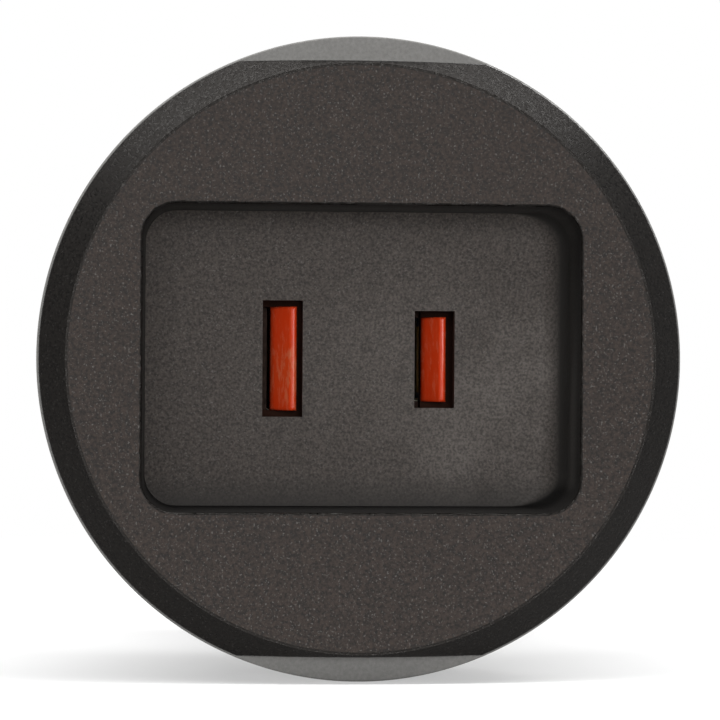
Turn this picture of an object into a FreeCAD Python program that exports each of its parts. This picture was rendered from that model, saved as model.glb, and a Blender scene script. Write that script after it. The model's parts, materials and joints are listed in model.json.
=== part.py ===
import FreeCAD, Part
import os

# Travel plug adapter: a polarised two-blade outlet in a deep well, on a round two-pin plug.
# All sizes are in millimetres. The outlet looks to -Y, the plug pins point to +Y and Z is up.
# y = 0 is the plug face, where the two pins come out. X runs to the right, seen from the outlet.

# Front cover
cover_step = 0.2
chamfer_width = 2.2
chamfer_depth = 1.7
cover_rim = 2.2
cover_plate = 2.0
cover_flats = 47.7
well_width = 35.1
well_height = 24.6
well_depth = 9.0
well_corner = 2.7
well_wall = 1.6
well_floor = 1.4
well_floor_chamfer = 0.8
well_mouth_chamfer = 0.2
lip_depth = 2.2
lip_wall = 1.2
lip_gap = 0.15

# Blades that the outlet takes, and their slots
blade_spacing = 12.7
blade_thickness = 1.52
blade_length = 18.3
neutral_blade_height = 7.94
line_blade_height = 6.35
slot_width = 3.35
slot_end_room = 0.88
slot_pair_offset = 0.25
blade_tip_gap = 0.4

# Shutter and its guide
block_height = 2.6
ramp_height = 2.1
ridge_land = 0.5
ridge_round = 0.18
neutral_block_width = 2.2
line_block_width = 1.95
block_shift = 0.15
block_end_gap = 0.47
shutter_travel = 2.6
shutter_base = 1.6
shutter_rail = 1.6
shutter_bar = 1.2
blade_window_room = 0.44
lug_gap = 0.25
slide_gap = 0.2
slide_side_gap = 0.15
guide_wall = 1.2

# Return spring of the shutter
spring_length = 6.0
spring_radius = 1.3
spring_wire = 0.16
spring_turns = 4
spring_seat = 1.2
spring_spigot_radius = 0.8
spring_spigot_length = 1.2
spring_gap = 0.02

# Plate behind the shutter
plate_thickness = 1.6
plate_corner = 1.5
plate_window_room = 0.4
plate_screw_height = 10.0
plate_ear_radius = 2.4

# Rear housing
well_room = 1.867
housing_wall = 2.2
housing_back = 2.8
housing_back_chamfer = 1.6
cavity_flats = 44.4
plug_depth = 17.5
plug_radius = 18.5
plug_wall = 1.9
plug_back = 3.2
plug_edge_chamfer = 0.7
earth_channel_width = 9.0
earth_channel_depth = 2.8
guide_groove_width = 5.0
guide_groove_depth = 2.0
carrier_rib = 1.4

# Plug pins
pin_spacing = 19.0
pin_radius = 2.4
pin_length = 19.0
pin_tip_radius = 1.3
pin_tip_length = 1.7
pin_root_radius = 1.6
pin_seat_depth = 0.8
rivet_radius = 2.4
rivet_head = 0.8
rivet_gap = 0.03

# Contacts and the block around them
contact_sheet = 0.6
cage_gap = 2.1
cage_length = 5.8
nip_gap = 1.2
mouth_gap = 2.6
mouth_setback = 0.4
nip_setback = 2.4
cage_blade_room = 0.2
tab_half_height = 3.0
carrier_gap = 0.35
carrier_wall = 1.4
carrier_fit = 0.1

# Screws
housing_screw_height = 19.3
housing_screw_radius = 1.25
housing_screw_length = 9.5
housing_screw_head_radius = 2.2
housing_screw_head = 1.4
housing_screw_recess = 1.5
cover_boss_radius = 2.5
plate_screw_radius = 0.9
plate_screw_length = 5.0
plate_screw_head_radius = 1.7
plate_screw_head = 1.2
screw_gap = 0.05
screw_hole_gap = 0.3
cross_slot_width = 0.5
cross_slot_depth = 0.8

# Planes along Y, worked forward from the plug face
plug_inner_y = -plug_back
tab_front_y = plug_inner_y - contact_sheet
rivet_top_y = tab_front_y - rivet_head
blade_tip_y = rivet_top_y - blade_tip_gap
floor_front_y = blade_tip_y - blade_length
floor_back_y = floor_front_y + well_floor
front_y = floor_front_y - well_depth
cover_inner_y = front_y + cover_plate
joint_y = front_y + cover_rim
flange_y = -plug_depth
flange_inner_y = flange_y - housing_back
ridge_y = floor_back_y + slide_gap
base_front_y = ridge_y + block_height
base_back_y = base_front_y + shutter_base
guide_y = base_back_y + slide_gap
plate_back_y = guide_y + plate_thickness
spring_y = (floor_back_y + guide_y) / 2

# Places across X and Z
well_reach_x = well_width / 2 - well_corner
well_reach_z = well_height / 2 - well_corner
well_reach = (well_reach_x ** 2 + well_reach_z ** 2) ** 0.5 + well_corner + well_wall
housing_radius = well_reach + well_room + housing_wall
cover_radius = housing_radius - cover_step
neutral_x = slot_pair_offset - blade_spacing / 2
line_x = slot_pair_offset + blade_spacing / 2
pin_x = pin_spacing / 2
neutral_slot_height = neutral_blade_height + 2 * slot_end_room
line_slot_height = line_blade_height + 2 * slot_end_room
neutral_block_height = neutral_slot_height - 2 * block_end_gap
line_block_height = line_slot_height - 2 * block_end_gap
shutter_half_height = neutral_block_height / 2 + shutter_rail
blade_window = shutter_travel + blade_thickness / 2 + blade_window_room
shutter_left = neutral_x - blade_window - shutter_bar
shutter_right = line_x + block_shift + line_block_width / 2 + shutter_bar
lug_left = neutral_x + slot_width / 2 + lug_gap
lug_right = lug_left + spring_seat
post_left = lug_right + spring_length
guide_left = shutter_left - guide_wall
guide_right = shutter_right + shutter_travel + slide_side_gap + guide_wall
guide_half_height = shutter_half_height + slide_side_gap + guide_wall
cage_radius = cage_gap / 2 + contact_sheet
carrier_half_width = pin_x + rivet_radius + carrier_gap
carrier_half_height = neutral_blade_height / 2 + cage_blade_room + cage_radius + carrier_gap + carrier_wall


def block(x0, x1, y0, y1, z0, z1):
    """Plain box between two corners."""
    return Part.makeBox(x1 - x0, y1 - y0, z1 - z0, FreeCAD.Vector(x0, y0, z0))


def rod(radius, y0, y1, x=0.0, z=0.0):
    """Cylinder along Y."""
    return Part.makeCylinder(radius, y1 - y0, FreeCAD.Vector(x, y0, z), FreeCAD.Vector(0, 1, 0))


def taper(radius0, radius1, y0, y1, x=0.0, z=0.0):
    """Cone along Y, from radius0 at y0 to radius1 at y1."""
    return Part.makeCone(radius0, radius1, y1 - y0, FreeCAD.Vector(x, y0, z), FreeCAD.Vector(0, 1, 0))


def rounded_block(x0, x1, y0, y1, z0, z1, corner):
    """Box whose four edges along Y are rounded."""
    body = block(x0, x1, y0, y1, z0, z1)
    along_y = [edge for edge in body.Edges if abs(edge.tangentAt(edge.FirstParameter).y) > 0.9]
    return body.makeFillet(corner, along_y)


def plate_from_outline(points, z0, z1):
    """Prism between two heights, on an outline given as X and Y."""
    corners = [FreeCAD.Vector(x, y, z0) for x, y in points]
    outline = Part.makePolygon(corners + corners[:1])
    return Part.Face(outline).extrude(FreeCAD.Vector(0, 0, z1 - z0))


def edges_in_plane(body, y):
    """Edges that lie wholly in the plane across Y at y."""
    return [edge for edge in body.Edges
            if abs(edge.BoundBox.YMin - y) < 1e-6 and abs(edge.BoundBox.YMax - y) < 1e-6]


def housing_cavity(inset, y0, y1):
    """Room inside the rear housing's cup: round, with a flat at the top and at the bottom."""
    radius = housing_radius - housing_wall - inset
    half_height = cavity_flats / 2 - inset
    return rod(radius, y0, y1).common(block(-radius, radius, y0, y1, -half_height, half_height))


def plug_section(inset, y0, y1):
    """Round plug with a channel for each earth spring and a groove for each guide rib of a wall socket."""
    body = rod(plug_radius - inset, y0, y1)
    channel = earth_channel_width / 2 + inset
    channel_floor = plug_radius - earth_channel_depth - inset
    groove = guide_groove_width / 2 + inset
    groove_floor = plug_radius - guide_groove_depth - inset
    for side in (-1, 1):
        low, high = sorted((side * channel_floor, side * plug_radius))
        body = body.cut(block(-channel, channel, y0, y1, low, high))
        low, high = sorted((side * groove_floor, side * plug_radius))
        body = body.cut(block(low, high, y0, y1, -groove, groove))
    return body


def housing_screw_places():
    """X and Z of the two housing screws, each above an earth channel of the plug."""
    return [(0.0, level * housing_screw_height) for level in (-1, 1)]


def plate_screw_places():
    """X and Z of the two screws of the shutter plate."""
    return [(slot_pair_offset, level * plate_screw_height) for level in (-1, 1)]


def blade_pair():
    """X, blade height, slot height, block width and block height of each pole."""
    return [
        (neutral_x, neutral_blade_height, neutral_slot_height, neutral_block_width, neutral_block_height),
        (line_x, line_blade_height, line_slot_height, line_block_width, line_block_height),
    ]


def front_cover():
    """Cover with its chamfer, flats, locating lip, well, slots, shutter guide and screw bosses."""
    face_radius = cover_radius - chamfer_width
    chamfer_y = front_y + chamfer_depth
    disc = taper(face_radius, cover_radius, front_y, chamfer_y).fuse(rod(cover_radius, chamfer_y, joint_y))
    half_flats = cover_flats / 2
    disc = disc.common(block(-cover_radius, cover_radius, front_y, joint_y, -half_flats, half_flats))
    lip_y = joint_y + lip_depth
    shell = disc.fuse(housing_cavity(lip_gap, cover_inner_y, lip_y))
    shell = shell.cut(housing_cavity(lip_gap + lip_wall, cover_inner_y, lip_y))

    half_width = well_width / 2
    half_height = well_height / 2
    well_outside = rounded_block(-half_width - well_wall, half_width + well_wall, front_y, floor_back_y,
                                 -half_height - well_wall, half_height + well_wall, well_corner + well_wall)
    shell = shell.fuse(well_outside)
    for x, z in housing_screw_places():
        shell = shell.fuse(rod(cover_boss_radius, cover_inner_y, flange_inner_y, x, z))

    guide = rounded_block(guide_left, guide_right, floor_back_y, guide_y,
                          -guide_half_height, guide_half_height, plate_corner)
    for x, z in plate_screw_places():
        guide = guide.fuse(rod(plate_ear_radius, floor_back_y, guide_y, x, z))
    slide_half_height = guide_half_height - guide_wall
    guide = guide.cut(block(guide_left + guide_wall, guide_right - guide_wall, floor_back_y, guide_y,
                            -slide_half_height, slide_half_height))
    post = block(post_left, post_left + spring_seat, floor_back_y, base_back_y, -spring_radius, spring_radius)
    spigot = Part.makeCylinder(spring_spigot_radius, spring_spigot_length,
                               FreeCAD.Vector(post_left, spring_y, 0), FreeCAD.Vector(-1, 0, 0))
    shell = shell.fuse(guide).fuse(post).fuse(spigot)

    well = rounded_block(-half_width, half_width, front_y, floor_front_y,
                         -half_height, half_height, well_corner)
    well = well.makeChamfer(well_floor_chamfer, edges_in_plane(well, floor_front_y))
    shell = shell.cut(well)
    for x, _, slot_height, _, _ in blade_pair():
        shell = shell.cut(block(x - slot_width / 2, x + slot_width / 2, floor_front_y, floor_back_y,
                                -slot_height / 2, slot_height / 2))

    pilot = housing_screw_radius + screw_gap
    pilot_end_y = flange_y - housing_screw_recess - housing_screw_length - screw_gap
    for x, z in housing_screw_places():
        shell = shell.cut(rod(pilot, pilot_end_y, flange_inner_y, x, z))
    pilot = plate_screw_radius + screw_gap
    pilot_depth = plate_screw_length + screw_gap - plate_thickness
    for x, z in plate_screw_places():
        shell = shell.cut(rod(pilot, guide_y - pilot_depth, guide_y, x, z))

    shell = shell.removeSplitter()
    mouth = [edge for edge in edges_in_plane(shell, front_y)
             if edge.BoundBox.ZMax <= half_height + 1e-6 and edge.BoundBox.ZMin >= -half_height - 1e-6
             and edge.BoundBox.XMax <= half_width + 1e-6 and edge.BoundBox.XMin >= -half_width - 1e-6]
    return shell.makeChamfer(well_mouth_chamfer, mouth)


def shutter():
    """Slide with a ramped block behind each slot, a window beside each block, and a seat for the spring."""
    opening = neutral_block_height / 2
    body = block(shutter_left, shutter_right, base_front_y, base_back_y,
                 -shutter_half_height, shutter_half_height)
    neutral_face = neutral_x + block_shift - neutral_block_width / 2
    line_face = line_x + block_shift - line_block_width / 2
    body = body.cut(block(shutter_left + shutter_bar, neutral_face, base_front_y, base_back_y,
                          -opening, opening))
    body = body.cut(block(lug_right, line_face, base_front_y, base_back_y, -opening, opening))
    for x, _, _, width, height in blade_pair():
        left = x + block_shift - width / 2
        right = left + width
        outline = [
            (left, base_front_y),
            (left, ridge_y + ramp_height),
            (right - ridge_land, ridge_y),
            (right, ridge_y),
            (right, base_front_y),
        ]
        wedge = plate_from_outline(outline, -height / 2, height / 2)
        body = body.fuse(wedge.makeFillet(ridge_round, edges_in_plane(wedge, ridge_y)))
    lug = block(lug_left, lug_right, spring_y - spring_radius, base_back_y, -spring_radius, spring_radius)
    spigot = Part.makeCylinder(spring_spigot_radius, spring_spigot_length,
                               FreeCAD.Vector(lug_right, spring_y, 0), FreeCAD.Vector(1, 0, 0))
    return body.fuse(lug).fuse(spigot).removeSplitter()


def shutter_spring():
    """Compression spring between the shutter's seat and the cover's post."""
    wire_radius = spring_wire / 2
    length = spring_length - spring_wire - 2 * spring_gap
    coil = Part.makeHelix(length / spring_turns, length, spring_radius - wire_radius)
    middle = spring_radius - wire_radius
    corners = [(wire_radius, 0), (0, wire_radius), (-wire_radius, 0), (0, -wire_radius)]
    section = Part.makePolygon([FreeCAD.Vector(middle + out, 0, up) for out, up in corners + corners[:1]])
    body = Part.Wire(coil).makePipeShell([section], True, True)
    body.rotate(FreeCAD.Vector(0, 0, 0), FreeCAD.Vector(0, 1, 0), 90)
    body.translate(FreeCAD.Vector(lug_right + wire_radius + spring_gap, spring_y, 0))
    return body


def shutter_plate():
    """Plate screwed to the back of the well, with a window for each blade."""
    body = rounded_block(guide_left, guide_right, guide_y, plate_back_y,
                         -guide_half_height, guide_half_height, plate_corner)
    for x, z in plate_screw_places():
        low, high = sorted((0.0, z))
        body = body.fuse(block(x - plate_ear_radius, x + plate_ear_radius, guide_y, plate_back_y, low, high))
        body = body.fuse(rod(plate_ear_radius, guide_y, plate_back_y, x, z))
    for x, z in plate_screw_places():
        body = body.cut(rod(plate_screw_radius + screw_hole_gap, guide_y, plate_back_y, x, z))
    for x, blade_height, _, _, _ in blade_pair():
        half_width = blade_thickness / 2 + plate_window_room
        half_height = blade_height / 2 + plate_window_room
        body = body.cut(block(x - half_width, x + half_width, guide_y, plate_back_y,
                              -half_height, half_height))
    return body.removeSplitter()


def rear_housing():
    """Cup behind the cover, with the plug, the carrier's ribs, and the seats of screws and pins."""
    cup = rod(housing_radius, joint_y, flange_y)
    cup = cup.makeChamfer(housing_back_chamfer, edges_in_plane(cup, flange_y))
    plug = plug_section(0.0, flange_inner_y, 0.0)
    plug = plug.makeChamfer(plug_edge_chamfer, edges_in_plane(plug, 0.0))
    body = cup.fuse(plug)
    body = body.cut(housing_cavity(0.0, joint_y, flange_inner_y))
    inside = plug_section(plug_wall, flange_inner_y, plug_inner_y)
    body = body.cut(inside)

    ribs = []
    outer = plug_radius - plug_wall / 2
    top = carrier_half_height + carrier_fit
    end = carrier_half_width + carrier_fit
    for side in (-1, 1):
        for level in (-1, 1):
            x0, x1 = sorted((side * (pin_x - carrier_rib), side * pin_x))
            z0, z1 = sorted((level * top, level * outer))
            ribs.append(block(x0, x1, plate_back_y, plug_inner_y, z0, z1))
            x0, x1 = sorted((side * end, side * outer))
            z0, z1 = sorted((level * (top - carrier_rib), level * top))
            ribs.append(block(x0, x1, plate_back_y, plug_inner_y, z0, z1))
    for rib in ribs:
        body = body.fuse(rib.common(inside))

    seat_y = flange_y - housing_screw_recess
    for x, z in housing_screw_places():
        body = body.cut(rod(housing_screw_radius + screw_hole_gap, flange_inner_y, seat_y, x, z))
        body = body.cut(rod(housing_screw_head_radius + screw_hole_gap, seat_y, flange_y, x, z))
    bore = pin_root_radius + rivet_gap
    for side in (-1, 1):
        body = body.cut(rod(bore, plug_inner_y, -pin_seat_depth, side * pin_x))
        body = body.cut(taper(bore, pin_radius + rivet_gap, -pin_seat_depth, 0.0, side * pin_x))
    return body.removeSplitter()


def plug_pin(side):
    """Turned pin, drawn into its cone seat by its root, which is riveted over the contact."""
    x = side * pin_x
    tip_y = pin_length - pin_tip_length
    pin = rod(pin_radius, 0.0, tip_y, x)
    pin = pin.fuse(taper(pin_radius, pin_tip_radius, tip_y, pin_length, x))
    pin = pin.fuse(taper(pin_root_radius, pin_radius, -pin_seat_depth, 0.0, x))
    root = rod(pin_root_radius, tab_front_y, -pin_seat_depth, x)
    head = rod(rivet_radius, rivet_top_y, tab_front_y, x)
    return pin.fuse(root).fuse(head).removeSplitter()


def contact(x, blade_height, side):
    """Strip folded into a cage round the blade, with two nipping fingers and a tab under the pin's rivet."""
    cage_back_y = rivet_top_y - blade_tip_gap
    cage_front_y = cage_back_y - cage_length
    finger_y = plate_back_y + mouth_setback
    nip_y = finger_y + nip_setback
    low = -blade_height / 2
    high = blade_height / 2 + cage_blade_room

    wrap = rod(cage_radius, cage_front_y, cage_back_y, x, high)
    wrap = wrap.cut(rod(cage_gap / 2, cage_front_y, cage_back_y, x, high))
    wrap = wrap.common(block(x - cage_radius, x + cage_radius, cage_front_y, cage_back_y,
                             high, high + cage_radius))
    body = wrap
    for leaf_side in (-1, 1):
        at_tab = leaf_side == -side
        leaf_back_y = plug_inner_y if at_tab else cage_back_y
        near, far = sorted((x + leaf_side * cage_gap / 2, x + leaf_side * cage_radius))
        body = body.fuse(block(near, far, cage_front_y, leaf_back_y, low, high))
        inner = [
            (x + leaf_side * cage_gap / 2, cage_front_y),
            (x + leaf_side * nip_gap / 2, nip_y),
            (x + leaf_side * mouth_gap / 2, finger_y),
        ]
        outer = [(px + leaf_side * contact_sheet, py) for px, py in reversed(inner)]
        body = body.fuse(plate_from_outline(inner + outer, low, high))
    tab_x0, tab_x1 = sorted((x - side * cage_radius, side * carrier_half_width))
    tab = block(tab_x0, tab_x1, tab_front_y, plug_inner_y, -tab_half_height, tab_half_height)
    body = body.fuse(tab)
    body = body.cut(rod(pin_root_radius + rivet_gap, tab_front_y, plug_inner_y, side * pin_x))
    return body.removeSplitter()


def contact_carrier():
    """Insulating block between plate and contact tabs, with a chamber per contact and a notch per rivet."""
    body = rounded_block(-carrier_half_width, carrier_half_width, plate_back_y, tab_front_y,
                         -carrier_half_height, carrier_half_height, plate_corner)
    for x, blade_height, _, _, _ in blade_pair():
        half_width = cage_radius + carrier_gap
        low = -blade_height / 2 - carrier_gap
        high = blade_height / 2 + cage_blade_room + cage_radius + carrier_gap
        body = body.cut(block(x - half_width, x + half_width, plate_back_y, tab_front_y, low, high))
    notch_y = rivet_top_y - carrier_gap
    notch = rivet_radius + carrier_gap
    for side in (-1, 1):
        x0, x1 = sorted((side * (pin_x - notch), side * carrier_half_width))
        body = body.cut(block(x0, x1, notch_y, tab_front_y, -notch, notch))
    return body.removeSplitter()


def screw(x, z, seat_y, radius, length, head_radius, head_height):
    """Cross-head screw driven from the back towards the outlet, with its head seated at seat_y."""
    head_y = seat_y + head_height
    head = rod(head_radius, seat_y, head_y, x, z)
    half_slot = cross_slot_width / 2
    reach = head_radius / 2
    recess_y = head_y - cross_slot_depth
    head = head.cut(block(x - reach, x + reach, recess_y, head_y, z - half_slot, z + half_slot))
    head = head.cut(block(x - half_slot, x + half_slot, recess_y, head_y, z - reach, z + reach))
    return head.fuse(rod(radius, seat_y - length, seat_y, x, z)).removeSplitter()


pieces = {
    "front_cover": front_cover(),
    "shutter": shutter(),
    "shutter_spring": shutter_spring(),
    "shutter_plate": shutter_plate(),
    "rear_housing": rear_housing(),
    "neutral_pin": plug_pin(-1),
    "line_pin": plug_pin(1),
    "neutral_contact": contact(neutral_x, neutral_blade_height, -1),
    "line_contact": contact(line_x, line_blade_height, 1),
    "contact_carrier": contact_carrier(),
}
for number, (x, z) in enumerate(plate_screw_places(), 1):
    pieces["plate_screw_%d" % number] = screw(x, z, plate_back_y, plate_screw_radius, plate_screw_length,
                                              plate_screw_head_radius, plate_screw_head)
for number, (x, z) in enumerate(housing_screw_places(), 1):
    pieces["housing_screw_%d" % number] = screw(x, z, flange_y - housing_screw_recess, housing_screw_radius,
                                                housing_screw_length, housing_screw_head_radius,
                                                housing_screw_head)

os.makedirs("parts", exist_ok=True)
for name, body in pieces.items():
    if not body.isValid() or len(body.Solids) != 1:
        raise ValueError("%s is not one valid solid" % name)
    body.exportStep("parts/%s.step" % name)
    print("%-18s %9.2f mm3" % (name, body.Volume))
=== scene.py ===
import json
import math

import bmesh
import bpy
from mathutils import Matrix, Vector


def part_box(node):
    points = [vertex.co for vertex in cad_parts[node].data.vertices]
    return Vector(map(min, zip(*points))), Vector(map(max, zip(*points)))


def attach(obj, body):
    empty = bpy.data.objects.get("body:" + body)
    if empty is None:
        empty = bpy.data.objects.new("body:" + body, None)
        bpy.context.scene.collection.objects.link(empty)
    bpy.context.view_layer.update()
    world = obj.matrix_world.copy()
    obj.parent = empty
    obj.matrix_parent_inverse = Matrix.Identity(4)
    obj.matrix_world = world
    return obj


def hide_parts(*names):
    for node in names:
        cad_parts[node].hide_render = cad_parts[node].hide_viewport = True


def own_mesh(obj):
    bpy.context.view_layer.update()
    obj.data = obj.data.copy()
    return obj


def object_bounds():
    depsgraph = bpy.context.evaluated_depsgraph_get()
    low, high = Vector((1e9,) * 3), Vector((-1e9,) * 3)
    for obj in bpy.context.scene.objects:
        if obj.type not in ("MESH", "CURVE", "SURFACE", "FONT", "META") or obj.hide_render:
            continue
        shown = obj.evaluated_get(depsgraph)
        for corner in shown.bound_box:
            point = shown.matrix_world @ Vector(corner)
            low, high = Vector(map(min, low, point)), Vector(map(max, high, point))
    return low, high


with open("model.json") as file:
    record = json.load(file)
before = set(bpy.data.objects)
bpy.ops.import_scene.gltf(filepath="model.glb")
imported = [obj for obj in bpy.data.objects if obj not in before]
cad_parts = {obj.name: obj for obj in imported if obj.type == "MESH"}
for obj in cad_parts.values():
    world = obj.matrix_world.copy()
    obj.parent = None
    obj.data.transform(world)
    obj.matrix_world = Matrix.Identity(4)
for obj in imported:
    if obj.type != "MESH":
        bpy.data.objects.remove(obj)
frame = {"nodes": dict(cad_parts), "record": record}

cad_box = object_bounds()


# Front cover
# The black face of the adapter: one moulding with the deep plug well, the two blade slots, a lip that plugs
# into the rear housing and, behind the well, the guide that the shutter slides in. Moulded in black ABS, with
# grain on the face, the chamfer and the well's floor, and held by two screws from behind.
mm = 0.001
snap = 0.001 * mm
cover_low, cover_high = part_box("front_cover")
outlet = next(mount["pos_m"] for mount in frame["record"]["mounts"] if mount["name"] == "blade_outlet")
front_y = cover_low.y
joint_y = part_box("rear_housing")[0].y
guide_y = cover_high.y
floor_y = outlet[1]
floor_thickness = 1.4 * mm
floor_back_y = floor_y + floor_thickness
cover_radius = cover_high.x
cover_flat = cover_high.z
chamfer_width = 2.2 * mm
chamfer_depth = 1.7 * mm
groove_width = 0.22 * mm
groove_depth = 0.02 * mm
edge_round = 0.12 * mm
face_thickness = 2.0 * mm
face_inner_y = front_y + face_thickness
lip_depth = 2.2 * mm
lip_y = joint_y + lip_depth
lip_radius = 23.7 * mm
lip_flat = 22.05 * mm
lip_wall = 1.2 * mm
well_width = 35.1 * mm
well_height = 24.6 * mm
well_wall = 1.6 * mm
well_corner = 2.7 * mm
floor_fillet = 2.4 * mm
floor_edge = 0.1 * mm
fillet_steps = 12
mouth_round = 0.2 * mm
rim_nick = 0.035 * mm
rim_depth = 0.6 * mouth_round
rim_cuts = 60
weld = 0.4 * mm
well_over = 1 * mm
slot_width = 3.35 * mm
blade_spacing = 12.7 * mm
poles = {
    "neutral": {"x": outlet[0] - blade_spacing / 2, "slot": 9.7 * mm, "block": 8.76 * mm, "width": 2.2 * mm},
    "line": {"x": outlet[0] + blade_spacing / 2, "slot": 8.11 * mm, "block": 7.17 * mm, "width": 1.95 * mm},
}
guide_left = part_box("shutter_plate")[0].x
guide_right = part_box("shutter_plate")[1].x
guide_wall = 1.2 * mm
slide_side_gap = 0.15 * mm
guide_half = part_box("shutter")[1].z + slide_side_gap + guide_wall
guide_corner = 1.5 * mm
ear_radius = 2.4 * mm
plate_screw_z = 10.0 * mm
plate_pilot = 0.95 * mm
plate_pilot_depth = 3.45 * mm
boss_radius = 2.5 * mm
boss_z = 19.3 * mm
boss_y = -20.3 * mm
boss_pilot = 1.3 * mm
boss_pilot_y = -28.55 * mm
spring_gap = 0.02 * mm
post_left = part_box("shutter_spring")[1].x + spring_gap
spring_seat = 1.2 * mm
spring_half = 1.3 * mm
spigot_radius = 0.8 * mm
spigot_length = 1.2 * mm
spring_y = (floor_back_y + guide_y) / 2
slide_gap = 0.2 * mm
slide_back_y = guide_y - slide_gap


def edit(body):
    """Opens one piece in edit mode with nothing else selected."""
    bpy.ops.object.select_all(action="DESELECT")
    body.select_set(True)
    bpy.context.view_layer.objects.active = body
    bpy.ops.object.mode_set(mode="EDIT")


def select(kind, wanted):
    """Selects those vertices, edges or faces of the piece being edited that fit."""
    bpy.ops.mesh.select_mode(type=kind)
    bpy.ops.mesh.select_all(action="DESELECT")
    mesh = bmesh.from_edit_mesh(bpy.context.object.data)
    for item in {"VERT": mesh.verts, "EDGE": mesh.edges, "FACE": mesh.faces}[kind]:
        if wanted(item):
            item.select_set(True)
    bmesh.update_edit_mesh(bpy.context.object.data)


def place_applied():
    """Moves a new primitive's place, turn and size into its mesh."""
    bpy.ops.object.transform_apply(location=True, rotation=True, scale=True)
    return bpy.context.object


def draw_out(stations, x=0.0, z=0.0):
    """Draws the selected end on from the first station along Y, resized at each of the others."""
    for (y, radius), (next_y, next_radius) in zip(stations, stations[1:]):
        bpy.ops.mesh.extrude_region_move(TRANSFORM_OT_translate={"value": (0, next_y - y, 0)})
        share = next_radius / radius
        bpy.ops.transform.resize(value=(share, 1, share), center_override=(x, next_y, z))


def turned(stations, x=0.0, z=0.0, sides=64):
    """A round solid along Y: a disc at the first station, drawn out ring by ring."""
    y, radius = stations[0]
    bpy.ops.object.select_all(action="DESELECT")
    bpy.ops.mesh.primitive_circle_add(vertices=sides, radius=radius, fill_type="NGON", location=(x, y, z),
                                      rotation=(math.radians(90), 0, 0))
    body = place_applied()
    bpy.ops.object.mode_set(mode="EDIT")
    bpy.ops.mesh.select_all(action="SELECT")
    draw_out(stations, x, z)
    bpy.ops.mesh.select_all(action="SELECT")
    bpy.ops.mesh.normals_make_consistent(inside=False)
    bpy.ops.object.mode_set(mode="OBJECT")
    return body


def along_y(edge):
    """Whether an edge runs along Y."""
    run = edge.verts[0].co - edge.verts[1].co
    return abs(run.y) > 0.99 * run.length


def moulded_block(low, high, corner=0.0, steps=6):
    """A block between two points, with its edges along Y rounded."""
    bpy.ops.object.select_all(action="DESELECT")
    middle = [(a + b) / 2 for a, b in zip(low, high)]
    bpy.ops.mesh.primitive_cube_add(size=1, location=middle, scale=[b - a for a, b in zip(low, high)])
    body = place_applied()
    if corner:
        edit(body)
        select("EDGE", along_y)
        bpy.ops.mesh.bevel(offset=corner, segments=steps, affect="EDGES")
        bpy.ops.object.mode_set(mode="OBJECT")
    return body


def shape(body, tool, operation):
    """Cuts the tool out of the body, welds it on or keeps what both share, and removes the tool."""
    modifier = body.modifiers.new(operation.lower(), "BOOLEAN")
    modifier.operation = operation
    modifier.object = tool
    modifier.solver = "EXACT"
    bpy.context.view_layer.objects.active = body
    bpy.ops.object.modifier_apply(modifier=modifier.name)
    bpy.data.objects.remove(tool)


def spigot(start_x, end_x, y, radius):
    """A short round stub along X."""
    bpy.ops.object.select_all(action="DESELECT")
    bpy.ops.mesh.primitive_cylinder_add(vertices=24, radius=radius, depth=end_x - start_x,
                                        location=((start_x + end_x) / 2, y, 0),
                                        rotation=(0, math.radians(90), 0))
    return place_applied()


def trim_flats(body, height):
    """Cuts a body flat at the top and at the bottom, and closes the cuts."""
    edit(body)
    for side in (-1, 1):
        bpy.ops.mesh.select_all(action="SELECT")
        bpy.ops.mesh.bisect(plane_co=(0, 0, side * height), plane_no=(0, 0, side),
                            use_fill=True, clear_outer=True)
    bpy.ops.object.mode_set(mode="OBJECT")
    return body


def smooth(body, degrees=35):
    """Smooth shading up to that angle, with the large flat faces kept flat."""
    bpy.ops.object.select_all(action="DESELECT")
    body.select_set(True)
    bpy.context.view_layer.objects.active = body
    bpy.ops.object.shade_smooth_by_angle(angle=math.radians(degrees))
    modifier = body.modifiers.new("flat_faces", "WEIGHTED_NORMAL")
    modifier.keep_sharp = True
    bpy.ops.object.modifier_apply(modifier=modifier.name)


def fitted(body, name, material, body_name, node):
    """Names a finished piece, gives it its material and puts it in the place of its node."""
    body.name = name
    body.data.name = name
    if material:
        body.data.materials.clear()
        body.data.materials.append(material)
    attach(body, body_name)
    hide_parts(node)


face_radius = cover_radius - chamfer_width
cover = turned([
    (front_y, face_radius - groove_width),
    (front_y + groove_depth, face_radius - groove_width / 2),
    (front_y, face_radius),
    (front_y + chamfer_depth, cover_radius),
    (joint_y, cover_radius),
], sides=256)
trim_flats(cover, cover_flat)
edit(cover)
select("EDGE", lambda edge: min(v.co.y for v in edge.verts) > front_y + edge_round
       and edge.calc_face_angle(0) > math.radians(20))
bpy.ops.mesh.bevel(offset=edge_round, segments=2, affect="EDGES")
bpy.ops.object.mode_set(mode="OBJECT")

lip = turned([(joint_y - weld, lip_radius), (lip_y, lip_radius)], sides=192)
shape(cover, trim_flats(lip, lip_flat), "UNION")
cavity = turned([(face_inner_y, lip_radius - lip_wall), (lip_y + weld, lip_radius - lip_wall)], sides=192)
shape(cover, trim_flats(cavity, lip_flat - lip_wall), "DIFFERENCE")
half_width = well_width / 2
half_height = well_height / 2
shape(cover, moulded_block((-half_width - well_wall, face_inner_y - weld, -half_height - well_wall),
                           (half_width + well_wall, floor_back_y, half_height + well_wall),
                           well_corner + well_wall, steps=8), "UNION")
for level in (-1, 1):
    boss = [(face_inner_y - weld, boss_radius), (boss_y, boss_radius)]
    shape(cover, turned(boss, 0, level * boss_z, sides=32), "UNION")
    pilot = [(boss_pilot_y, boss_pilot), (boss_y + weld, boss_pilot)]
    shape(cover, turned(pilot, 0, level * boss_z, sides=24), "DIFFERENCE")
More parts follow.
